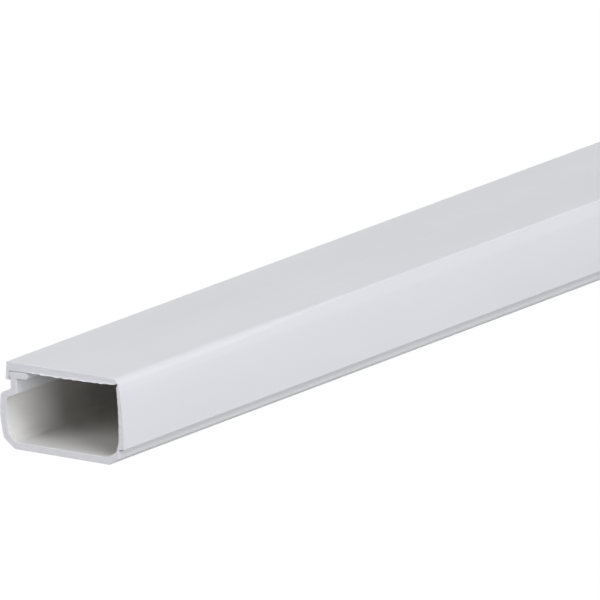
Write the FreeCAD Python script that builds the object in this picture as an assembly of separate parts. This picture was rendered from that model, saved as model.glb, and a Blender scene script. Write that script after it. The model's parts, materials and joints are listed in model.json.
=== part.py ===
import FreeCAD, Part

import math
import os

# Cord cover raceway: a hollow plastic channel for a run of cord, with a cover that folds open on a film
# hinge along one edge and snaps shut over a flange along the other. It is shown shut.
# The channel lies along X with its flat back on Z = 0. The hinge side is at -Y, the latch side at +Y.
# Each section is drawn in the YZ plane and extruded along X, as the real profile is.

# Overall sizes, in millimetres.
LENGTH = 400.0
WIDTH = 24.0
HEIGHT = 14.0

# Base channel: a flat back, a bowed wall, a sloping shoulder, a set-back neck and an inward flange.
WALL = 1.15
HINGE_CHAMFER_WIDTH = 1.9
HINGE_CHAMFER_HEIGHT = 1.05
LATCH_CHAMFER_WIDTH = 2.05
LATCH_CHAMFER_HEIGHT = 1.5
BOW_RADIUS = 17.0
BOW_BELOW_SHOULDER = 2.8
SHOULDER_RISE = 0.85
NECK_INSET = 2.2
NECK_HEIGHT = 1.8
FLANGE_THICKNESS = 1.15
FLANGE_REACH = 3.6
FLANGE_BEAD = 0.25

# Cover: a top plate with a short snap lip, and a tall skirt that ends in a thick foot at the film hinge.
# The plate is thickest over the flange's inner end, bellies a little, and thins towards the skirt.
PLATE_THICKNESS = 1.38
PLATE_BELLY = 0.12
PLATE_THINNING = 0.36
PLATE_HINGE_INSET = 0.8
LIP_WALL = 0.42
LIP_DEPTH = 2.95
LIP_FLARE = 0.22
BARB_REACH = 0.2
BARB_HEIGHT = 0.25
SKIRT_WALL_TOP = 0.7
SKIRT_WALL_FOOT = 1.13
SKIRT_OUTER_BOW = 0.2
SKIRT_INNER_BOW = 0.14
FOOT_WIDTH = 1.5
FOOT_HEIGHT = 1.1
RELIEF_RADIUS = 0.28

# The seat falls towards the lip, so that the shut cover is drawn down on it.
SEAT_FALL = 0.2
SEAT_CLEARANCE = 0.05

# Film hinge: the base's edge thins to a film, whose rounded top is centred on the fold line.
FOLD_HEIGHT = 2.42
FILM_THICKNESS = 0.4
FILM_CLEARANCE = 0.05
STRIP_SETBACK = 1.1
CORNER_REACH = 2.5
CORNER_BULGE = 0.26

# Rounded edges.
KINK_RADIUS = 0.5
INNER_KINK_RADIUS = 1.5
SHOULDER_RADIUS = 0.9
NECK_RADIUS = 0.4
FLANGE_END_RADIUS = 0.55
FLANGE_EDGE_RADIUS = 0.3
COVER_HINGE_RADIUS = 0.9
COVER_LATCH_RADIUS = 0.4
FOOT_EDGE_RADIUS = 0.2

# Two places nearer than this are the same place.
SAME_PLACE = 0.02

# Places that both pieces share.
HINGE_EDGE = -WIDTH / 2.0
LATCH_EDGE = WIDTH / 2.0
STRIP_FACE = HINGE_EDGE + STRIP_SETBACK
FILM_INNER = STRIP_FACE + FILM_THICKNESS
FOLD_LINE = STRIP_FACE + FILM_THICKNESS / 2.0
FILM_TOP = FOLD_HEIGHT + FILM_THICKNESS / 2.0
NECK_FACE = LATCH_EDGE - NECK_INSET
FLANGE_EDGE = NECK_FACE + FLANGE_BEAD
FLANGE_END = FLANGE_EDGE - FLANGE_REACH
FLANGE_TOP = HEIGHT - PLATE_THICKNESS - SEAT_CLEARANCE
FLANGE_UNDERSIDE = FLANGE_TOP - FLANGE_THICKNESS


def section_point(y, z):
    """A point of the section, in the plane of the near end."""
    return FreeCAD.Vector(-LENGTH / 2.0, y, z)


def extruded(start, steps):
    """Solid swept along X from a closed outline: each step is an end point, or an arc's middle and end."""
    edges = []
    here = section_point(*start)
    for step in steps:
        end = section_point(*step[-1])
        if len(step) == 1:
            edges.append(Part.LineSegment(here, end).toShape())
        else:
            edges.append(Part.Arc(here, section_point(*step[0]), end).toShape())
        here = end
    face = Part.Face(Part.Wire(edges))
    return face.extrude(FreeCAD.Vector(LENGTH, 0, 0))


def rounded(solid, radius, corners):
    """The solid with a fillet along each long edge that stands at one of the section's corners."""
    chosen = []
    for edge in solid.Edges:
        middle = edge.CenterOfMass
        for y, z in corners:
            if abs(middle.x) < SAME_PLACE and math.hypot(middle.y - y, middle.z - z) < SAME_PLACE:
                chosen.append(edge)
    if len(chosen) != len(corners):
        raise ValueError("an edge to be rounded was not found")
    return solid.makeFillet(radius, chosen)


def arc_middle(start, end, sag):
    """Middle of an arc from start to end that stands off their chord by sag, to the left of the way."""
    dy = end[0] - start[0]
    dz = end[1] - start[1]
    chord = math.hypot(dy, dz)
    return ((start[0] + end[0]) / 2.0 - sag * dz / chord, (start[1] + end[1]) / 2.0 + sag * dy / chord)


def inset_corner(before, corner, after, depth):
    """The corner of an outline drawn a depth inside this one, whose inside is to the left of the way."""
    first = math.atan2(corner[1] - before[1], corner[0] - before[0]) + math.pi / 2.0
    second = math.atan2(after[1] - corner[1], after[0] - corner[0]) + math.pi / 2.0
    reach = depth / (1.0 + math.cos(second - first))
    return (corner[0] + reach * (math.cos(first) + math.cos(second)),
            corner[1] + reach * (math.sin(first) + math.sin(second)))


def base_channel():
    """Back, latch wall, neck and flange in one profile, down to the film on the hinge side."""
    shoulder_top = (NECK_FACE, FLANGE_UNDERSIDE - NECK_HEIGHT)
    wall_top_z = shoulder_top[1] - SHOULDER_RISE
    widest = (LATCH_EDGE, wall_top_z - BOW_BELOW_SHOULDER)

    def on_bow(z):
        """Point of the latch wall's outer face at a height."""
        return (LATCH_EDGE - BOW_RADIUS + math.sqrt(BOW_RADIUS ** 2 - (z - widest[1]) ** 2), z)

    strip_foot = (STRIP_FACE, HINGE_CHAMFER_HEIGHT)
    hinge_kink = (STRIP_FACE + HINGE_CHAMFER_WIDTH, 0.0)
    latch_kink = on_bow(LATCH_CHAMFER_HEIGHT)
    back_corner = (latch_kink[0] - LATCH_CHAMFER_WIDTH, 0.0)
    wall_top = on_bow(wall_top_z)
    neck_top = (NECK_FACE, FLANGE_UNDERSIDE)
    edge_top = (FLANGE_EDGE, FLANGE_TOP - SEAT_FALL)
    end_top = (FLANGE_END, FLANGE_TOP)
    end_low = (FLANGE_END, FLANGE_UNDERSIDE)
    neck_inner_top = (NECK_FACE - WALL, FLANGE_UNDERSIDE)
    neck_inner_low = inset_corner(wall_top, shoulder_top, neck_top, WALL)
    inner_top = inset_corner(widest, wall_top, shoulder_top, WALL)
    inner_low = inset_corner(back_corner, latch_kink, widest, WALL)
    inner_back = inset_corner(hinge_kink, back_corner, latch_kink, WALL)
    corner_start = (FILM_INNER + CORNER_REACH, WALL)
    film_start = (FILM_INNER, FOLD_HEIGHT)
    film_end = (STRIP_FACE, FOLD_HEIGHT)
    solid = extruded(film_end, [
        [strip_foot],
        [hinge_kink],
        [back_corner],
        [latch_kink],
        [widest, wall_top],
        [shoulder_top],
        [neck_top],
        [(FLANGE_EDGE, FLANGE_UNDERSIDE)],
        [edge_top],
        [end_top],
        [end_low],
        [neck_inner_top],
        [neck_inner_low],
        [inner_top],
        [(widest[0] - WALL, widest[1]), inner_low],
        [inner_back],
        [corner_start],
        [arc_middle(corner_start, film_start, CORNER_BULGE), film_start],
        [(FOLD_LINE, FILM_TOP), film_end],
    ])
    solid = rounded(solid, SHOULDER_RADIUS, [wall_top, inner_top])
    solid = rounded(solid, FLANGE_END_RADIUS, [end_top, end_low])
    solid = rounded(solid, FLANGE_EDGE_RADIUS, [edge_top])
    solid = rounded(solid, NECK_RADIUS, [shoulder_top, neck_inner_low, neck_inner_top])
    solid = rounded(solid, INNER_KINK_RADIUS, [inner_low, inner_back])
    return rounded(solid, KINK_RADIUS, [strip_foot, hinge_kink, back_corner, latch_kink])


def cover():
    """Top plate, snap lip and skirt in one profile, down to the foot at the fold line."""
    foot_bottom = FILM_TOP + FILM_CLEARANCE
    lip_inner = FLANGE_EDGE + SEAT_CLEARANCE
    lip_bottom = HEIGHT - LIP_DEPTH
    barb_top = lip_bottom + BARB_HEIGHT
    plate_latch = (lip_inner + LIP_WALL, HEIGHT)
    plate_hinge = (HINGE_EDGE + PLATE_HINGE_INSET, HEIGHT)
    foot_outer = (HINGE_EDGE, foot_bottom)
    foot_inner = (HINGE_EDGE + FOOT_WIDTH, foot_bottom)
    skirt_low = (HINGE_EDGE + SKIRT_WALL_FOOT, foot_bottom + FOOT_HEIGHT)
    thick_underside = (FLANGE_END, HEIGHT - PLATE_THICKNESS)
    thin_underside = thick_underside[1] + PLATE_THINNING
    inner_corner = (plate_hinge[0] - SKIRT_OUTER_BOW + SKIRT_WALL_TOP, thin_underside)
    relief_low = (inner_corner[0], inner_corner[1] - RELIEF_RADIUS)
    relief_end = (inner_corner[0] + RELIEF_RADIUS, inner_corner[1])
    lip_outer = (plate_latch[0] + LIP_FLARE, lip_bottom)
    solid = extruded(lip_outer, [
        [plate_latch],
        [plate_hinge],
        [arc_middle(plate_hinge, foot_outer, -SKIRT_OUTER_BOW), foot_outer],
        [foot_inner],
        [skirt_low],
        [arc_middle(skirt_low, relief_low, SKIRT_INNER_BOW), relief_low],
        [arc_middle(relief_low, relief_end, RELIEF_RADIUS), relief_end],
        [arc_middle(relief_end, thick_underside, -PLATE_BELLY), thick_underside],
        [(lip_inner, thick_underside[1] - SEAT_FALL)],
        [(lip_inner, barb_top)],
        [(lip_inner - BARB_REACH, barb_top)],
        [(lip_inner - BARB_REACH, lip_bottom)],
        [lip_outer],
    ])
    solid = rounded(solid, COVER_HINGE_RADIUS, [plate_hinge])
    solid = rounded(solid, COVER_LATCH_RADIUS, [plate_latch])
    return rounded(solid, FOOT_EDGE_RADIUS, [foot_outer, skirt_low])


os.makedirs("parts", exist_ok=True)
for name, build in (("base_channel", base_channel), ("cover", cover)):
    shape = build()
    if not shape.isValid():
        raise ValueError(name + " is not a valid solid")
    shape.exportStep("parts/" + name + ".step")
    print(name, round(shape.Volume, 1), shape.BoundBox)
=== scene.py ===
import json
import math

import bpy
import numpy as np
from bpy.props import FloatProperty, FloatVectorProperty, PointerProperty
from mathutils import Matrix, Vector


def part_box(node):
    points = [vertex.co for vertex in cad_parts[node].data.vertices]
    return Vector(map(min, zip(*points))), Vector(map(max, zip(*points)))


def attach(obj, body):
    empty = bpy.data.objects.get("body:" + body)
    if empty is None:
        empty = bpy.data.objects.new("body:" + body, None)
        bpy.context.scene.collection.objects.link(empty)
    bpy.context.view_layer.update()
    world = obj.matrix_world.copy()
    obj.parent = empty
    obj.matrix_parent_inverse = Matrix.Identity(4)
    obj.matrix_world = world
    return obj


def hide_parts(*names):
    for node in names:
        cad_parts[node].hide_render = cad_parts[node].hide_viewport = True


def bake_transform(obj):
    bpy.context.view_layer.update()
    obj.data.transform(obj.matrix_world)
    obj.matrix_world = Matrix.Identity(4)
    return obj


bl_info = {
    "name": "Cord cover raceway",
    "version": (1, 0, 0),
    "blender": (4, 5, 0),
    "location": "View3D > Sidebar > Raceway",
    "description": "Builds a hinged plastic cord cover raceway around its CAD frame",
    "category": "Add Mesh",
}

# The frame comes first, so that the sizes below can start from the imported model.
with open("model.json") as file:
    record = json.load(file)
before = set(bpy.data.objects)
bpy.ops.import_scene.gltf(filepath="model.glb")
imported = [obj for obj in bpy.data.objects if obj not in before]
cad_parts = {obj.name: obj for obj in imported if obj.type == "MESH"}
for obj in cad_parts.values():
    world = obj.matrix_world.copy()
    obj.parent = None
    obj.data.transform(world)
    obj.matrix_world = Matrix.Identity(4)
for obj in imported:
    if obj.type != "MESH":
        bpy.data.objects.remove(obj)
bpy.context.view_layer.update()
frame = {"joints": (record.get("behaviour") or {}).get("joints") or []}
BASE_LOW, BASE_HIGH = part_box("base_channel")
COVER_LOW, COVER_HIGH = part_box("cover")
FOLD = next(joint for joint in frame["joints"] if joint["name"] == "cover_fold")

MM = 0.001

# Face slots of every extruded piece, in the order in which its materials are added.
# The inside slot's finish is painted shade: a darker, warmer tone given to the inner faces for the shade
# inside the channel.
OUTSIDE, INSIDE_PAINTED_SHADE, SAWN = 0, 1, 2

# The photograph's frame and where it shows the near end's middle, on the floor.
FRAME_PIXELS = 600.0
ANCHOR_PIXEL = (62.3, 457.3)
PIXELS_PER_MM = 6.45
VIEW_HEADING = math.radians(36.8)
VIEW_ELEVATION = math.radians(14.8)
VIEW_ROLL = math.radians(1.58)
SENSOR_MM = 36.0
LENS_MM = 1700.0

# Square lamps hang round the near end. Each one's bearing is in degrees: round from the hinge side
# towards the near end, and up.
LAMP_DISTANCE = 2.6
LAMP_SIZE = 1.3
LAMP_TINT = "#F7F9FF"
LAMPS = {
    "key": (20.0, 8.0),
    "high": (20.0, 50.0),
    "low": (125.0, 10.0),
    "middle": (125.0, 30.0),
    "latch": (180.0, 50.0),
    "right": (-55.0, 8.0),
}

# The floor is grey paper to the light. What is seen of it is mostly lifted, by this share and level.
FLOOR_TINT = "#7C7C7C"
FLOOR_LIFT = 1.2
FLOOR_LIFT_SHARE = 0.82
FLOOR_HALF = 5.0
FLOOR_DROP = 0.05 * MM

# Rigid PVC's refractive index, and the lengths between which the saw's raggedness comes and goes.
VINYL_IOR = 1.53
RAGGED_LENGTHS = (0.4 * MM, 2.2 * MM)


def linear(hex_colour):
    """Linear RGB of an sRGB colour written as a hex string, by the sRGB curve."""
    raw = np.array([int(hex_colour[i:i + 2], 16) for i in (1, 3, 5)]) / 255.0
    return tuple(np.where(raw <= 0.04045, raw / 12.92, ((raw + 0.055) / 1.055) ** 2.4))


def length(name, about, default_mm):
    """A length that a user may change, in metres, from a default in millimetres."""
    return FloatProperty(name=name, description=about, default=default_mm * MM, unit="LENGTH", precision=5)


def colour(name, about, hex_colour):
    """A colour that a user may change, from an sRGB hex string."""
    return FloatVectorProperty(name=name, description=about, default=linear(hex_colour), size=3,
                               min=0.0, max=1.0, subtype="COLOR")


class RacewaySection(bpy.types.PropertyGroup):
    """Sizes of the two extruded sections. What the CAD boxes give is read from them instead."""

    wall: length("Wall", "Thickness of the base channel's back and walls", 1.15)
    hinge_chamfer_width: length("Hinge chamfer width", "Chamfer under the hinge side, along the back", 1.9)
    hinge_chamfer_height: length("Hinge chamfer height", "Chamfer under the hinge side, up the side", 1.05)
    latch_chamfer_width: length("Latch chamfer width", "Chamfer under the latch wall, along the back", 2.05)
    latch_chamfer_height: length("Latch chamfer height", "Chamfer under the latch wall, up the wall", 1.5)
    bow_radius: length("Bow radius", "Radius of the latch wall's outward bow", 17.0)
    bow_below_shoulder: length("Bow below shoulder", "From the wall's top down to its widest place", 2.8)
    shoulder_rise: length("Shoulder rise", "Rise of the sloping shoulder", 0.85)
    neck_inset: length("Neck inset", "Set-back of the neck from the latch wall's widest place", 2.2)
    neck_height: length("Neck height", "Straight height of the neck under the flange", 1.8)
    flange_thickness: length("Flange thickness", "Thickness of the inward flange", 1.15)
    flange_reach: length("Flange reach", "Reach of the flange from its outer edge to its inner end", 3.6)
    flange_bead: length("Flange bead", "How far the flange's outer edge stands out past the neck", 0.25)
    film: length("Film", "Thickness of the film hinge", 0.4)
    corner_reach: length("Corner reach", "Reach of the inner corner's sweep up to the film", 2.5)
    corner_bulge: length("Corner bulge", "Bulge of the inner corner's sweep", 0.26)
    plate_thickness: length("Plate thickness", "Thickness of the cover over the flange", 1.38)
    plate_belly: length("Plate belly", "Belly of the plate's underside", 0.12)
    plate_thinning: length("Plate thinning", "How much the plate thins towards the skirt", 0.36)
    plate_hinge_inset: length("Plate hinge inset", "Lean of the skirt, from its foot to the plate", 0.8)
    seat_fall: length("Seat fall", "Fall of the flange's seat towards the lip", 0.2)
    seat_clearance: length("Seat clearance", "Gap between the shut cover and the flange", 0.05)
    lip_wall: length("Lip wall", "Thickness of the snap lip at its root", 0.42)
    lip_depth: length("Lip depth", "Depth of the snap lip below the plate's top", 2.95)
    lip_flare: length("Lip flare", "Outward flare of the snap lip", 0.22)
    barb_reach: length("Barb reach", "How far the lip's barb reaches under the flange", 0.2)
    barb_height: length("Barb height", "Height of the lip's barb", 0.25)
    skirt_wall_top: length("Skirt wall top", "Thickness of the skirt at the plate", 0.7)
    skirt_wall_foot: length("Skirt wall foot", "Thickness of the skirt just above its foot", 1.13)
    skirt_outer_bow: length("Skirt outer bow", "Bow of the skirt's outer face", 0.2)
    skirt_inner_bow: length("Skirt inner bow", "Bow of the skirt's inner face", 0.14)
    foot_width: length("Foot width", "Width of the skirt's foot", 1.5)
    foot_height: length("Foot height", "Height over which the foot thins to the skirt", 1.1)
    relief_radius: length("Relief radius", "Radius of the relief groove in the cover's inner corner", 0.28)
    relief_depth: length("Relief depth", "Depth of the relief groove from its mouth", 0.4)
    kink_radius: length("Kink radius", "Rounding of the chamfers' outer edges", 0.5)
    inner_kink_radius: length("Inner kink radius", "Rounding of the chamfer's inner edges", 1.5)
    shoulder_radius: length("Shoulder radius", "Rounding of the shoulder", 0.9)
    neck_radius: length("Neck radius", "Rounding in the neck's corners", 0.4)
    flange_end_radius: length("Flange end radius", "Rounding of the flange's inner end", 0.55)
    flange_edge_radius: length("Flange edge radius", "Rounding of the flange's outer edge", 0.3)
    cover_latch_radius: length("Cover latch radius", "Rounding of the cover over the snap lip", 0.4)
    foot_edge_radius: length("Foot edge radius", "Rounding of the foot's edges", 0.2)
    soft_radius: length("Soft corner radius", "Rounding of the skirt's top corner near the sawn ends", 1.4)
    crisp_radius: length("Crisp corner radius", "Rounding of the skirt's top corner further in", 0.24)
    die_line_step: length("Die line step", "Width of the die's fine step along the crisp corner", 0.22)
    die_line_fade: length("Die line fade", "How far behind the step the plate rises to its level again", 1.6)
    die_line_depth: length("Die line depth", "Height of that step", 0.08)
    skirt_crown: length("Skirt crown", "How far the skirt leans in more over its top stretch", 0.14)
    crown_height: length("Crown height", "Height of that top stretch", 2.2)
    crown_radius: length("Crown radius", "Rounding between that stretch and the rest of the skirt", 6.0)
    soft_length: length("Soft length", "How far from an end the top corner stays soft", 22.0)
    crisp_length: length("Crisp length", "How far from an end the top corner is fully crisp", 68.0)
    deburr: length("Deburr", "Width of the scraped edge round a sawn end", 0.06)
    chip: length("Chip", "Depth of the nicks that the saw leaves round an end", 0.1)
    burr: length("Burr", "How far the ragged burr hangs down from the plate at a sawn end", 0.07)
    burr_root: length("Burr root", "How far up the sawn face the burr starts to stand out", 0.26)
    burr_lip: length("Burr lip", "How far the burr's edge stands out of the sawn face", 0.15)
    burr_fade: length("Burr fade", "How far past the relief groove the burr has its full size", 0.4)


class RacewayFinish(bpy.types.PropertyGroup):
    """Colours and pattern sizes of the plastic."""

    outside: colour("Outside", "Off-white of the outer faces", "#E6E6E6")
    outside_mottle: colour("Outside mottle", "Second tone of the outer faces, a shade darker", "#E3E3E3")
    # Painted shade: the inner faces' colour is a darker, warmer copy of the outside tone, standing in for
    # the shade inside the channel.
    inside: colour("Inside", "Slightly warmer tone of the inner faces", "#E2E0DC")
    sawn: colour("Sawn face", "Tone of the sawn ends, whitened a little by the saw", "#ECEAEC")
    sawn_smear: colour("Sawn smear", "Tone of the smeared ridges on the sawn ends", "#F3F1F3")
    die_streaks: length("Die streaks", "Spacing of the die's fine streaks along the length", 0.55)
    streak_run: length("Streak run", "How far a streak runs before it fades", 120.0)
    mottle: length("Mottle", "Size of the faint clouds in the tone", 14.0)
    saw_pitch: length("Saw pitch", "Spacing of the saw's marks, drawn a little coarse", 0.35)
    grain: length("Grain", "Size of the torn grain on a sawn face", 0.16)


def lamp_power(name, about, watts):
    """The power of a lamp, in watts, that a user may change."""
    return FloatProperty(name=name, description=about, default=watts, min=0.0, unit="POWER")


class RacewayStage(bpy.types.PropertyGroup):
    """Light levels of the plain studio."""

    sky: FloatProperty(name="Sky", description="Level of the even light from all round", default=0.1,
                       min=0.0, subtype="FACTOR")
    key: lamp_power("Key", "Low lamp that faces the hinge side", 45.0)
    high: lamp_power("High", "Lamp high above the key", 34.5)
    low: lamp_power("Low", "Low lamp before the near end, towards the latch side", 15.0)
    middle: lamp_power("Middle", "Lamp above the low one", 15.3)
    latch: lamp_power("Latch", "Lamp high over the latch side", 8.0)
    right: lamp_power("Right", "Low lamp on the hinge side, beyond the middle", 6.0)


def add_node(tree, kind, inputs=None, **settings):
    """Adds a node; a value given for an input is set on it, and a socket given for it is linked to it."""
    node = tree.nodes.new(kind)
    for name, value in settings.items():
        setattr(node, name, value)
    for name, value in (inputs or {}).items():
        if isinstance(value, bpy.types.NodeSocket):
            tree.links.new(value, node.inputs[name])
        else:
            node.inputs[name].default_value = value
    return node


def new_material(name):
    """An empty node material with its output, and the tree to fill."""
    material = bpy.data.materials.new(name)
    material.use_nodes = True
    material.node_tree.nodes.clear()
    return material, material.node_tree


def streaks_along(tree, across, along, detail):
    """Noise stretched along X: a pattern of size across in the section and of size along in the length."""
    place = add_node(tree, "ShaderNodeTexCoord").outputs["Object"]
    scaled = add_node(tree, "ShaderNodeMapping", {"Vector": place,
                                                  "Scale": (1 / along, 1 / across, 1 / across)})
    return add_node(tree, "ShaderNodeTexNoise", {"Vector": scaled.outputs["Vector"], "Scale": 1.0,
                                                 "Detail": detail, "Roughness": 0.55})


def extruded_vinyl(name, tone, second_tone, finish, roughness):
    """Rigid PVC as it leaves the die: satin, in hair-fine streaks along the length, faintly clouded."""
    material, tree = new_material(name)
    streaks = streaks_along(tree, finish.die_streaks, finish.streak_run, 3.0)
    clouds = streaks_along(tree, finish.mottle, finish.mottle * 3.0, 2.0)
    share = add_node(tree, "ShaderNodeMapRange", {"Value": clouds.outputs["Fac"], "From Min": 0.35,
                                                  "From Max": 0.65})
    tint = add_node(tree, "ShaderNodeMix", {"Factor": share.outputs["Result"], "A": (*tone, 1.0),
                                            "B": (*second_tone, 1.0)}, data_type="RGBA")
    rough = add_node(tree, "ShaderNodeMapRange", {"Value": streaks.outputs["Fac"], "From Min": 0.3,
                                                  "From Max": 0.7, "To Min": roughness - 0.05,
                                                  "To Max": roughness + 0.05})
    bump = add_node(tree, "ShaderNodeBump", {"Height": streaks.outputs["Fac"], "Strength": 0.35,
                                             "Distance": 0.012 * MM})
    shader = add_node(tree, "ShaderNodeBsdfPrincipled", {"Base Color": tint.outputs["Result"],
                                                         "Roughness": rough.outputs["Result"],
                                                         "IOR": VINYL_IOR, "Normal": bump.outputs["Normal"]})
    add_node(tree, "ShaderNodeOutputMaterial", {"Surface": shader.outputs["BSDF"]})
    return material


def sawn_vinyl(name, finish):
    """Rigid PVC cut with a fine saw: matt, with the saw's slanting marks, torn grain and pale smears."""
    material, tree = new_material(name)
    place = add_node(tree, "ShaderNodeTexCoord").outputs["Object"]
    turned = add_node(tree, "ShaderNodeMapping", {"Vector": place, "Scale": (1.0, 0.16, 1.0),
                                                  "Rotation": (math.radians(24.0), 0.0, 0.0)})
    ridges = add_node(tree, "ShaderNodeTexNoise", {"Vector": turned.outputs["Vector"],
                                                   "Scale": 1.0 / finish.saw_pitch, "Detail": 3.0})
    grain = add_node(tree, "ShaderNodeTexNoise", {"Vector": place, "Scale": 1.0 / finish.grain,
                                                  "Detail": 3.0, "Roughness": 0.6})
    height = add_node(tree, "ShaderNodeMath", {0: ridges.outputs["Fac"], 1: grain.outputs["Fac"]},
                      operation="ADD")
    share = add_node(tree, "ShaderNodeMapRange", {"Value": height.outputs["Value"], "From Min": 0.85,
                                                  "From Max": 1.2})
    tint = add_node(tree, "ShaderNodeMix", {"Factor": share.outputs["Result"], "A": (*finish.sawn, 1.0),
                                            "B": (*finish.sawn_smear, 1.0)}, data_type="RGBA")
    bump = add_node(tree, "ShaderNodeBump", {"Height": height.outputs["Value"], "Strength": 0.6,
                                             "Distance": 0.04 * MM})
    shader = add_node(tree, "ShaderNodeBsdfPrincipled", {"Base Color": tint.outputs["Result"],
                                                         "Roughness": 0.62, "IOR": VINYL_IOR,
                                                         "Normal": bump.outputs["Normal"]})
    add_node(tree, "ShaderNodeOutputMaterial", {"Surface": shader.outputs["BSDF"]})
    return material


def vinyl_slots():
    """The three finishes of an extruded piece, made once and shared: outside, inside and sawn. The inside
    finish is painted shade: a darker, warmer copy of the outside one.
    """
    finish = bpy.context.scene.raceway_finish
    makers = {
        "extruded_vinyl_outside": lambda name: extruded_vinyl(name, finish.outside, finish.outside_mottle,
                                                              finish, 0.4),
        # Painted shade: the same vinyl in the darker, warmer inside colour, for the inner faces in the
        # channel's shade.
        "extruded_vinyl_inside": lambda name: extruded_vinyl(name, finish.inside, finish.inside,
                                                             finish, 0.5),
        "sawn_vinyl_end": lambda name: sawn_vinyl(name, finish),
    }
    return [bpy.data.materials.get(name) or make(name) for name, make in makers.items()]


def unit(v):
    """Each vector divided by its length."""
    return v / np.linalg.norm(v, axis=-1, keepdims=True)


def side_of(start, end, sag):
    """A side as a function of the distance along it. A sag makes it the arc that stands off the chord by
    that much to the left: radius = (chord squared / 4 + sag squared) / (2 sag), swept evenly in angle."""
    chord = np.linalg.norm(end - start)
    way = (end - start) / chord
    left = np.array([-way[1], way[0]])
    if abs(sag) < 1e-9:
        return chord, lambda s: start + np.multiply.outer(s, way)
    radius = (chord ** 2 / 4.0 + sag ** 2) / (2.0 * sag)
    half = math.asin(chord / 2.0 / abs(radius))
    if abs(sag) > chord / 2.0:
        half = math.pi - half
    centre = (start + end) / 2.0 + left * (sag - radius)
    run = 2.0 * half * abs(radius)

    def place(s):
        angle = (np.asarray(s) / run * 2.0 - 1.0) * half
        return centre + radius * np.multiply.outer(np.cos(angle), left) + abs(radius) * np.multiply.outer(
            np.sin(angle), way)

    return run, place


def outline(corners, like=None, step=0.4 * MM, edge=0.03 * MM, arc_points=7):
    """A closed section through corners of (y, z, radius, sag of the side that follows, face slot).
    Each side is sampled evenly, and a strongly bowed one in eight pieces at least, with one more point
    close to each end so that flats shade flat. Each rounded corner is the curve
    (1-t)^2 A + 2t(1-t) C + t^2 B between the points A and B that lie radius * tan(half the turn) before
    and after the corner C. A section made like another one has as many points on each side as that one.
    Returns the points, their slots, and which are not repeats."""
    places = np.array([c[:2] for c in corners])
    count = len(corners)
    model = np.array([c[:2] for c in like or corners])
    chords = np.linalg.norm(np.roll(model, -1, axis=0) - model, axis=1)
    sides = [side_of(places[i], places[(i + 1) % count], corners[i][3]) for i in range(count)]
    nearby = 1e-7
    trims = []
    for i in range(count):
        run_in, before = sides[i - 1]
        after = sides[i][1]
        arrive = unit(before(run_in) - before(run_in - nearby))
        leave = unit(after(nearby) - after(0.0))
        turn = math.acos(float(np.clip(arrive @ leave, -1.0, 1.0)))
        trims.append(corners[i][2] * math.tan(turn / 2.0))
    points, slots = [], []
    for i in range(count):
        run, place = sides[i]
        first, last = trims[i], run - trims[(i + 1) % count]
        if last <= first:
            raise ValueError("a side is too short for the rounding of its two corners")
        fewest = 8 if abs(corners[i][3]) > chords[i] / 4.0 else 2
        pieces = max(fewest, math.ceil(chords[i] / step))
        margin = min(edge, (last - first) / 5.0)
        even = first + margin + (last - first - 2.0 * margin) * np.linspace(0.0, 1.0, pieces + 1)
        along = np.concatenate([[first], even, [last]])
        points.append(place(along))
        slots.append(np.full(len(along), corners[i][4]))
        if corners[(i + 1) % count][2] > 0.0:
            t = np.linspace(0.0, 1.0, arc_points + 2)[1:-1, None]
            start, end = place(last), sides[(i + 1) % count][1](trims[(i + 1) % count])
            corner = places[(i + 1) % count]
            points.append((1 - t) ** 2 * start + 2 * t * (1 - t) * corner + t ** 2 * end)
            slots.append(np.full(arc_points, corners[i][4]))
    points, slots = np.concatenate(points), np.concatenate(slots)
    apart = np.linalg.norm(points - np.roll(points, 1, axis=0), axis=1) > 1e-8
    return points, slots, apart


def inward(points, reach=0.22 * MM):
    """Inward direction at each point of a closed section: the mean of the chords' left normals, each
    weighted by its length and by max(0, 1 - distance along the rim / reach), so that close neighbours
    move alike and a step inwards never folds a corner over itself."""
    way = np.roll(points, -1, axis=0) - points
    runs = np.linalg.norm(way, axis=1)
    left = np.stack([-way[:, 1], way[:, 0]], axis=1)
    ends = np.cumsum(runs)
    middles = ends - runs / 2.0
    starts = ends - runs
    gap = np.abs(starts[:, None] - middles[None, :])
    gap = np.minimum(gap, ends[-1] - gap)
    nearest = np.maximum(0.0, gap - runs[None, :] / 2.0)
    weight = np.maximum(0.0, 1.0 - nearest / reach) * np.minimum(1.0, reach / runs)[None, :]
    return unit(weight @ left)


def stations():
    """Places along X, close together near the sawn ends and growing apart to the middle: each half's
    distances from its end are a few fixed small ones, of which the second clears the burr's lip, and
    then an even run."""
    half = COVER_HIGH.x
    close = np.array([0.0, 0.21, 0.4, 0.8, 1.5, 3.0]) * MM
    even = np.linspace(5.0 * MM, half, 40)
    from_end = np.concatenate([close, even])
    return np.concatenate([from_end - half, (half - from_end)[-2::-1]])


def ripple(places, seed, waves, shortest, longest):
    """Smooth noise along a line: a sum of sines of random length between shortest and longest and random
    phase, divided by the root of half their number, so that it mostly lies within plus or minus 2."""
    random = np.random.default_rng(seed)
    lengths = random.uniform(shortest, longest, waves)
    phases = random.uniform(0.0, 2.0 * math.pi, waves)
    return np.sin(2.0 * math.pi * np.divide.outer(places, lengths) + phases).sum(-1) * math.sqrt(2.0 / waves)


def tube_faces(columns, count):
    """Faces of a closed section of count points swept through columns places along X: the quads between
    neighbouring columns, column by column, and one many-sided cap at each end."""
    index = np.arange(columns * count).reshape(columns, count)
    ahead = np.roll(index, -1, axis=1)
    quads = np.stack([index[:-1], ahead[:-1], ahead[1:], index[1:]], axis=-1).reshape(-1, 4)
    return quads.tolist() + [index[0, ::-1].tolist(), index[-1].tolist()]


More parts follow.
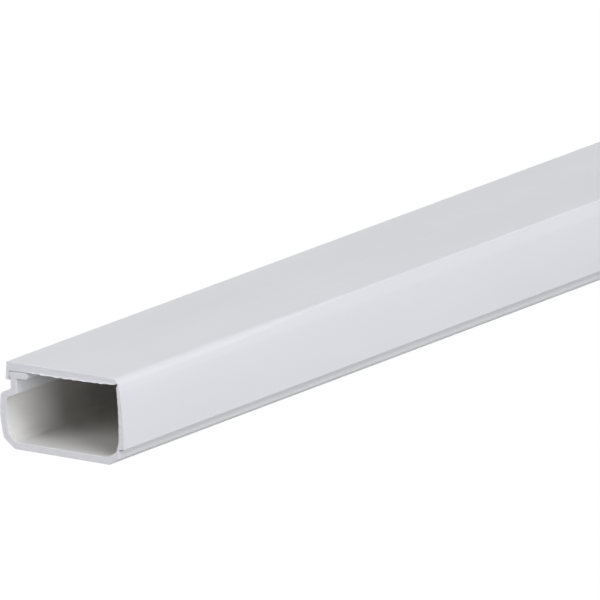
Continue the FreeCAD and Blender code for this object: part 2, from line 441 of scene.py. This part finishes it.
def extruded_piece(name, sections, weights, slots, burred, seed):
    """A solid skin swept along X through the stations. Its section at a station is the weighted mean of
    two sections with matching points. By the ends each point steps into the wall by the scraped edge and
    by nicks = chip * min(1, max(0, ripple)^2 / 4) round the rim. Where it is burred it steps out of the
    wall by burr * b and stands lip * b out of the sawn face, rising from burr root * b inside it, with
    b = share * clip(0.55 + 0.4 ripple) from another ripple. Flat caps close it."""
    sizes = bpy.context.scene.raceway_section
    x = stations()
    by_ends, further_in = sections
    rows = by_ends + weights[:, None, None] * (further_in - by_ends)
    rim = np.concatenate([[0.0], np.cumsum(np.linalg.norm(np.diff(by_ends, axis=0), axis=1))])
    normals = inward(by_ends)
    places = np.repeat(x[:, None], len(by_ends), axis=1)
    faces_of_ends = []
    for end, inner, salt, into in ((0, 1, 0, 1.0), (-1, -2, 2, -1.0)):
        nick_noise, burr_noise = (ripple(rim, seed + salt + k, 40, *RAGGED_LENGTHS) for k in (0, 1))
        nicks = np.minimum(1.0, np.maximum(0.0, nick_noise) ** 2 / 4.0)
        burrs = burred * np.clip(0.55 + 0.4 * burr_noise, 0.0, 1.0)
        step = sizes.chip * nicks - sizes.burr * burrs
        rows[end] += normals * (sizes.deburr + step)[:, None]
        rows[inner] += normals * (0.55 * step)[:, None]
        places[end] += into * sizes.burr_lip * (1.0 - burrs)
        flat = rows[end] + normals * (0.3 * sizes.deburr + sizes.burr_root * burrs)[:, None]
        faces_of_ends.append((np.full(len(by_ends), x[end] + into * sizes.burr_lip), flat))
    (near_x, near_flat), (far_x, far_flat) = faces_of_ends
    along = np.vstack([near_x, places, far_x])
    vertices = np.dstack([along, np.vstack([near_flat[None], rows, far_flat[None]])])
    columns, count = along.shape
    mesh = bpy.data.meshes.new(name)
    mesh.from_pydata(vertices.reshape(-1, 3).tolist(), [], tube_faces(columns, count))
    end_slots = np.full(count, SAWN)
    face_slots = np.concatenate([end_slots, np.tile(slots, columns - 3), end_slots, [SAWN, SAWN]])
    mesh.polygons.foreach_set("material_index", face_slots.astype(np.int32))
    mesh.polygons.foreach_set("use_smooth", np.arange(len(face_slots)) < len(face_slots) - 2)
    mesh.update()
    mesh.set_sharp_from_angle(angle=math.radians(28.0))
    piece = bpy.data.objects.new(name, mesh)
    bpy.context.scene.collection.objects.link(piece)
    for material in vinyl_slots():
        mesh.materials.append(material)
    return piece


def inset_corner(before, corner, after, depth):
    """The corner of an outline drawn a depth inside this one, whose inside is to the left of the way:
    the corner moved by depth / (1 + cos of the turn) along the sum of its two left normals."""
    ways = unit(np.array([np.subtract(corner, before), np.subtract(after, corner)]))
    left = np.stack([-ways[:, 1], ways[:, 0]], axis=1)
    return tuple(np.asarray(corner) + left.sum(0) * depth / (1.0 + left[0] @ left[1]))


def base_corners(s):
    """Corners of the base channel's section, anticlockwise from the film, with the CAD's own sizes. The
    flange's underside and the neck's inner face, next to the mouth where light reaches, wear the outer tone;
    the deeper inner faces wear the inside tone, which is painted shade."""
    strip, latch = BASE_LOW.y, BASE_HIGH.y
    fold_z = FOLD["pos_m"][2]
    flange_top = COVER_HIGH.z - s.plate_thickness - s.seat_clearance
    flange_low = flange_top - s.flange_thickness
    neck = latch - s.neck_inset
    shoulder_top = (neck, flange_low - s.neck_height)
    wall_top_z = shoulder_top[1] - s.shoulder_rise
    widest = (latch, wall_top_z - s.bow_below_shoulder)

    def on_bow(z):
        """Point of the bowed wall at a height: y = latch - R + sqrt(R^2 - (z - widest)^2)."""
        return (latch - s.bow_radius + math.sqrt(s.bow_radius ** 2 - (z - widest[1]) ** 2), z)

    def sag_between(start, end, radius):
        """Sag of an arc of a radius over the chord between two points: R - sqrt(R^2 - chord^2 / 4)."""
        return radius - math.sqrt(radius ** 2 - math.dist(start, end) ** 2 / 4.0)

    strip_foot = (strip, s.hinge_chamfer_height)
    hinge_kink = (strip + s.hinge_chamfer_width, 0.0)
    latch_kink = on_bow(s.latch_chamfer_height)
    back_corner = (latch_kink[0] - s.latch_chamfer_width, 0.0)
    wall_top = on_bow(wall_top_z)
    neck_top = (neck, flange_low)
    flange_edge = neck + s.flange_bead
    flange_end = flange_edge - s.flange_reach
    neck_inner_low = inset_corner(wall_top, shoulder_top, neck_top, s.wall)
    inner_top = inset_corner(widest, wall_top, shoulder_top, s.wall)
    inner_low = inset_corner(back_corner, latch_kink, widest, s.wall)
    inner_back = inset_corner(hinge_kink, back_corner, latch_kink, s.wall)
    bow_sag = -sag_between(latch_kink, wall_top, s.bow_radius)
    inner_sag = sag_between(inner_top, inner_low, s.bow_radius - s.wall)
    return [
        (strip, fold_z, 0.0, 0.0, OUTSIDE),
        (*strip_foot, s.kink_radius, 0.0, OUTSIDE),
        (*hinge_kink, s.kink_radius, 0.0, OUTSIDE),
        (*back_corner, s.kink_radius, 0.0, OUTSIDE),
        (*latch_kink, s.kink_radius, bow_sag, OUTSIDE),
        (*wall_top, s.shoulder_radius, 0.0, OUTSIDE),
        (*shoulder_top, s.neck_radius, 0.0, OUTSIDE),
        (*neck_top, 0.0, 0.0, OUTSIDE),
        (flange_edge, flange_low, 0.0, 0.0, OUTSIDE),
        (flange_edge, flange_top - s.seat_fall, s.flange_edge_radius, 0.0, OUTSIDE),
        (flange_end, flange_top, s.flange_end_radius, 0.0, OUTSIDE),
        (flange_end, flange_low, s.flange_end_radius, 0.0, OUTSIDE),
        (neck - s.wall, flange_low, s.neck_radius, 0.0, OUTSIDE),
        (*neck_inner_low, s.neck_radius, 0.0, INSIDE_PAINTED_SHADE),
        (*inner_top, s.shoulder_radius, inner_sag, INSIDE_PAINTED_SHADE),
        (*inner_low, s.inner_kink_radius, 0.0, INSIDE_PAINTED_SHADE),
        (*inner_back, s.inner_kink_radius, 0.0, INSIDE_PAINTED_SHADE),
        (strip + s.film + s.corner_reach, s.wall, 0.0, s.corner_bulge, INSIDE_PAINTED_SHADE),
        (strip + s.film, fold_z, 0.0, -s.film / 2.0, INSIDE_PAINTED_SHADE),
    ]


def cover_corners(s, corner_radius, die_line_depth):
    """Corners of the cover's section, anticlockwise from the snap lip, with the CAD's own sizes. A fine
    step lies along the top, just inside the skirt's corner. The skirt's face is the CAD's arc up to the
    crown, a share t of its height below the top, where it stands 4 bow t (1 - t) off its chord."""
    foot_z, hinge, top = COVER_LOW.z, COVER_LOW.y, COVER_HIGH.z
    flange_edge = BASE_HIGH.y - s.neck_inset + s.flange_bead
    flange_end = flange_edge - s.flange_reach
    lip_inner = flange_edge + s.seat_clearance
    lip_low = top - s.lip_depth
    plate_latch_y = lip_inner + s.lip_wall
    share = s.crown_height / (top - foot_z)
    bow = s.skirt_outer_bow
    crown_y = hinge + s.plate_hinge_inset * (1.0 - share) - 4.0 * bow * share * (1.0 - share)
    plate_hinge = (hinge + s.plate_hinge_inset + s.skirt_crown, top)
    line_y = plate_hinge[0] + corner_radius * 1.05
    thick_z = top - s.plate_thickness
    thin_z = thick_z + s.plate_thinning
    inner_y = hinge + s.plate_hinge_inset - bow + s.skirt_wall_top
    return [
        (plate_latch_y + s.lip_flare, lip_low, 0.0, 0.0, OUTSIDE),
        (plate_latch_y, top, s.cover_latch_radius, 0.0, OUTSIDE),
        (line_y + s.die_line_fade, top, 0.0, 0.0, OUTSIDE),
        (line_y + s.die_line_step, top - die_line_depth, 0.0, 0.0, OUTSIDE),
        (line_y, top, 0.0, 0.0, OUTSIDE),
        (*plate_hinge, corner_radius, 0.0, OUTSIDE),
        (crown_y, top - s.crown_height, s.crown_radius, -bow * (1.0 - share) ** 2, OUTSIDE),
        (hinge, foot_z, s.foot_edge_radius, 0.0, OUTSIDE),
        (hinge + s.foot_width, foot_z, 0.0, 0.0, INSIDE_PAINTED_SHADE),
        (hinge + s.skirt_wall_foot, foot_z + s.foot_height, s.foot_edge_radius, s.skirt_inner_bow, INSIDE_PAINTED_SHADE),
        (inner_y, thin_z - s.relief_radius, 0.0, s.relief_depth, INSIDE_PAINTED_SHADE),
        (inner_y + s.relief_radius, thin_z, 0.0, -s.plate_belly, INSIDE_PAINTED_SHADE),
        (flange_end, thick_z, 0.0, 0.0, INSIDE_PAINTED_SHADE),
        (lip_inner, thick_z - s.seat_fall, 0.0, 0.0, INSIDE_PAINTED_SHADE),
        (lip_inner, lip_low + s.barb_height, 0.0, 0.0, INSIDE_PAINTED_SHADE),
        (lip_inner - s.barb_reach, lip_low + s.barb_height, 0.0, 0.0, INSIDE_PAINTED_SHADE),
        (lip_inner - s.barb_reach, lip_low, 0.0, 0.0, OUTSIDE),
    ]


def crispness(x, s):
    """0 near the ends and 1 away from them: 3t^2 - 2t^3 of t, the distance from the nearer end taken
    between the soft and the crisp length."""
    from_end = COVER_HIGH.x - np.abs(x)
    t = np.clip((from_end - s.soft_length) / (s.crisp_length - s.soft_length), 0.0, 1.0)
    return 3.0 * t ** 2 - 2.0 * t ** 3


class RACEWAY_OT_base(bpy.types.Operator):
    """Build the base channel's skin and let it stand for the CAD node"""

    bl_idname = "raceway.base"
    bl_label = "Base channel"

    def execute(self, context):
        points, slots, apart = outline(base_corners(context.scene.raceway_section))
        points, slots = points[apart], slots[apart]
        unburred = np.zeros(len(points))
        piece = extruded_piece("base_channel_skin", (points, points), np.zeros(len(stations())), slots,
                               unburred, 11)
        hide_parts("base_channel")
        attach(piece, "base")
        return {"FINISHED"}


class RACEWAY_OT_cover(bpy.types.Operator):
    """Build the cover's skin, soft-cornered near its ends, and let it stand for the CAD node"""

    bl_idname = "raceway.cover"
    bl_label = "Cover"

    def execute(self, context):
        s = context.scene.raceway_section
        soft_corners = cover_corners(s, s.soft_radius, 0.0)
        soft, slots, apart = outline(soft_corners)
        crisp = outline(cover_corners(s, s.crisp_radius, s.die_line_depth), soft_corners)[0]
        sections = (soft[apart], crisp[apart])
        flange_end = BASE_HIGH.y - s.neck_inset + s.flange_bead - s.flange_reach
        groove_y = COVER_LOW.y + s.plate_hinge_inset + s.skirt_wall_top + s.relief_radius
        under_plate = ((slots[apart] == INSIDE_PAINTED_SHADE) & (soft[apart, 0] < flange_end)
                       & (soft[apart, 1] > COVER_HIGH.z - 1.2 * s.plate_thickness))
        burred = under_plate * np.clip((soft[apart, 0] - groove_y) / s.burr_fade, 0.0, 1.0)
        piece = extruded_piece("cover_skin", sections, crispness(stations(), s), slots[apart], burred, 23)
        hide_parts("cover")
        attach(piece, "lid")
        return {"FINISHED"}


class RACEWAY_OT_film(bpy.types.Operator):
    """Build the film that joins the cover's foot to the base"""

    bl_idname = "raceway.film"
    bl_label = "Film hinge"

    def execute(self, context):
        """A strip swept along X. Its section is two upright rows of points, a film's thickness apart and
        close enough together to bend. It starts inside the base, ends just inside the cover's foot, and
        stops short of both sawn faces."""
        s = context.scene.raceway_section
        fold_y, fold_z = FOLD["pos_m"][1:]
        low, high = fold_z - 0.3 * s.film, COVER_LOW.z + 0.02 * MM
        up = np.linspace((fold_y + s.film / 2.0, low), (fold_y + s.film / 2.0, high), 9)
        section = np.concatenate([up, up[::-1] - [s.film, 0.0]])
        reach = COVER_HIGH.x - s.burr_lip - 0.01 * MM
        x = np.linspace(-reach, reach, 41)
        vertices = np.empty((len(x), len(section), 3))
        vertices[:, :, 0] = x[:, None]
        vertices[:, :, 1:] = section
        mesh = bpy.data.meshes.new("film_hinge")
        mesh.from_pydata(vertices.reshape(-1, 3).tolist(), [], tube_faces(len(x), len(section)))
        mesh.update()
        mesh.materials.append(vinyl_slots()[OUTSIDE])
        film = bpy.data.objects.new("film_hinge", mesh)
        context.scene.collection.objects.link(film)
        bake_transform(film)
        return {"FINISHED"}


class RACEWAY_OT_stage(bpy.types.Operator):
    """Lay the pale floor, hang the soft lamps, and set the camera at the photograph's angle"""

    bl_idname = "raceway.stage"
    bl_label = "Stage"

    def execute(self, context):
        scene = context.scene
        levels = scene.raceway_stage
        lay_floor(scene)
        light_world(scene, levels)
        anchor = Vector((COVER_LOW.x, 0.0, 0.0))
        for name, bearing in LAMPS.items():
            hang_lamp(scene, name, anchor, bearing, getattr(levels, name))
        set_camera(scene, anchor)
        scene.view_settings.view_transform = "Standard"
        return {"FINISHED"}


def seen_rays(tree):
    """1 on rays that see the stage directly, in a reflection or through a clear thing, and 0 on others."""
    path = add_node(tree, "ShaderNodeLightPath")
    glossy = add_node(tree, "ShaderNodeMath", {0: path.outputs["Is Camera Ray"],
                                               1: path.outputs["Is Glossy Ray"]}, operation="MAXIMUM")
    return add_node(tree, "ShaderNodeMath", {0: glossy.outputs["Value"],
                                             1: path.outputs["Is Transmission Ray"]},
                    operation="MAXIMUM").outputs["Value"]


def lay_floor(scene):
    """Matt white paper: what is seen of it is lifted to white and keeps the object's shadow."""
    corners = [(x, y, -FLOOR_DROP) for x, y in ((-FLOOR_HALF, -FLOOR_HALF), (FLOOR_HALF, -FLOOR_HALF),
                                                (FLOOR_HALF, FLOOR_HALF), (-FLOOR_HALF, FLOOR_HALF))]
    mesh = bpy.data.meshes.new("floor")
    mesh.from_pydata(corners, [], [(0, 1, 2, 3)])
    floor = bpy.data.objects.new("floor", mesh)
    scene.collection.objects.link(floor)
    material, tree = new_material("white_paper")
    paper = add_node(tree, "ShaderNodeBsdfDiffuse", {"Color": (*linear(FLOOR_TINT), 1.0)})
    lift = add_node(tree, "ShaderNodeEmission", {"Color": (1.0, 1.0, 1.0, 1.0), "Strength": FLOOR_LIFT})
    seen = seen_rays(tree)
    lifted = add_node(tree, "ShaderNodeMixShader", {"Fac": FLOOR_LIFT_SHARE, 1: paper.outputs["BSDF"],
                                                    2: lift.outputs["Emission"]})
    mix = add_node(tree, "ShaderNodeMixShader", {"Fac": seen, 1: paper.outputs["BSDF"],
                                                 2: lifted.outputs["Shader"]})
    add_node(tree, "ShaderNodeOutputMaterial", {"Surface": mix.outputs["Shader"]})
    mesh.materials.append(material)


def light_world(scene, levels):
    """White where it is seen, and an even sky at the plain level for everything that it lights."""
    world = bpy.data.worlds.new("studio")
    world.use_nodes = True
    tree = world.node_tree
    tree.nodes.clear()
    level = add_node(tree, "ShaderNodeMapRange", {"Value": seen_rays(tree), "To Min": levels.sky,
                                                  "To Max": 1.0})
    sky = add_node(tree, "ShaderNodeBackground", {"Color": (1.0, 1.0, 1.0, 1.0),
                                                  "Strength": level.outputs["Result"]})
    add_node(tree, "ShaderNodeOutputWorld", {"Surface": sky.outputs["Background"]})
    scene.world = world


def hang_lamp(scene, name, aim, bearing, power):
    """A square soft lamp at a bearing from its aim, turned to it."""
    lamp = bpy.data.lights.new(name + "_lamp", "AREA")
    lamp.shape, lamp.size, lamp.energy, lamp.color = "SQUARE", LAMP_SIZE, power, linear(LAMP_TINT)
    holder = bpy.data.objects.new(name + "_lamp", lamp)
    round_from_side, height = (math.radians(angle) for angle in bearing)
    flat = math.cos(height)
    away = Vector((-math.sin(round_from_side) * flat, -math.cos(round_from_side) * flat, math.sin(height)))
    holder.location = aim + away * LAMP_DISTANCE
    holder.rotation_euler = (-away).to_track_quat("-Z", "Y").to_euler()
    scene.collection.objects.link(holder)


def set_camera(scene, anchor):
    """A long lens at the photograph's angle, aimed so that the anchor falls on its pixel. The view's axes
    are right, up and forward; roll turns right and up about forward."""
    forward = Vector((math.cos(VIEW_ELEVATION) * math.cos(VIEW_HEADING),
                      math.cos(VIEW_ELEVATION) * math.sin(VIEW_HEADING), -math.sin(VIEW_ELEVATION)))
    level = Vector((math.sin(VIEW_HEADING), -math.cos(VIEW_HEADING), 0.0))
    upright = level.cross(forward)
    right = level * math.cos(VIEW_ROLL) - upright * math.sin(VIEW_ROLL)
    up = level * math.sin(VIEW_ROLL) + upright * math.cos(VIEW_ROLL)
    metres_per_pixel = MM / PIXELS_PER_MM
    middle = FRAME_PIXELS / 2.0
    target = (anchor + right * (middle - ANCHOR_PIXEL[0]) * metres_per_pixel
              + up * (ANCHOR_PIXEL[1] - middle) * metres_per_pixel)
    distance = FRAME_PIXELS * metres_per_pixel * LENS_MM / SENSOR_MM
    camera = bpy.data.cameras.new("photo_camera")
    camera.lens, camera.sensor_width = LENS_MM, SENSOR_MM
    camera.clip_start, camera.clip_end = 0.1, 50.0
    holder = bpy.data.objects.new("photo_camera", camera)
    turn = Matrix((right, up, -forward)).transposed().to_4x4()
    holder.matrix_world = Matrix.Translation(target - forward * distance) @ turn
    scene.collection.objects.link(holder)
    scene.camera = holder


class RACEWAY_PT_panel(bpy.types.Panel):
    """Lists the raceway's pieces and its stage"""

    bl_label = "Cord cover raceway"
    bl_idname = "RACEWAY_PT_panel"
    bl_space_type = "VIEW_3D"
    bl_region_type = "UI"
    bl_category = "Raceway"

    def draw(self, context):
        for group in ("raceway_section", "raceway_finish", "raceway_stage"):
            box = self.layout.box()
            settings = getattr(context.scene, group)
            for name in settings.__annotations__:
                box.prop(settings, name)
        for operator in OPERATORS:
            self.layout.operator(operator.bl_idname)


OPERATORS = (RACEWAY_OT_base, RACEWAY_OT_cover, RACEWAY_OT_film, RACEWAY_OT_stage)
SETTINGS = {
    "raceway_section": RacewaySection,
    "raceway_finish": RacewayFinish,
    "raceway_stage": RacewayStage,
}


def register():
    for cls in (*SETTINGS.values(), *OPERATORS, RACEWAY_PT_panel):
        bpy.utils.register_class(cls)
    for name, cls in SETTINGS.items():
        setattr(bpy.types.Scene, name, PointerProperty(type=cls))


def unregister():
    for name in SETTINGS:
        delattr(bpy.types.Scene, name)
    for cls in reversed((*SETTINGS.values(), *OPERATORS, RACEWAY_PT_panel)):
        bpy.utils.unregister_class(cls)


def main():
    """Builds the raceway and its stage in order."""
    register()
    bpy.ops.raceway.base()
    bpy.ops.raceway.cover()
    bpy.ops.raceway.film()
    bpy.ops.raceway.stage()


if __name__ == "__main__":
    main()
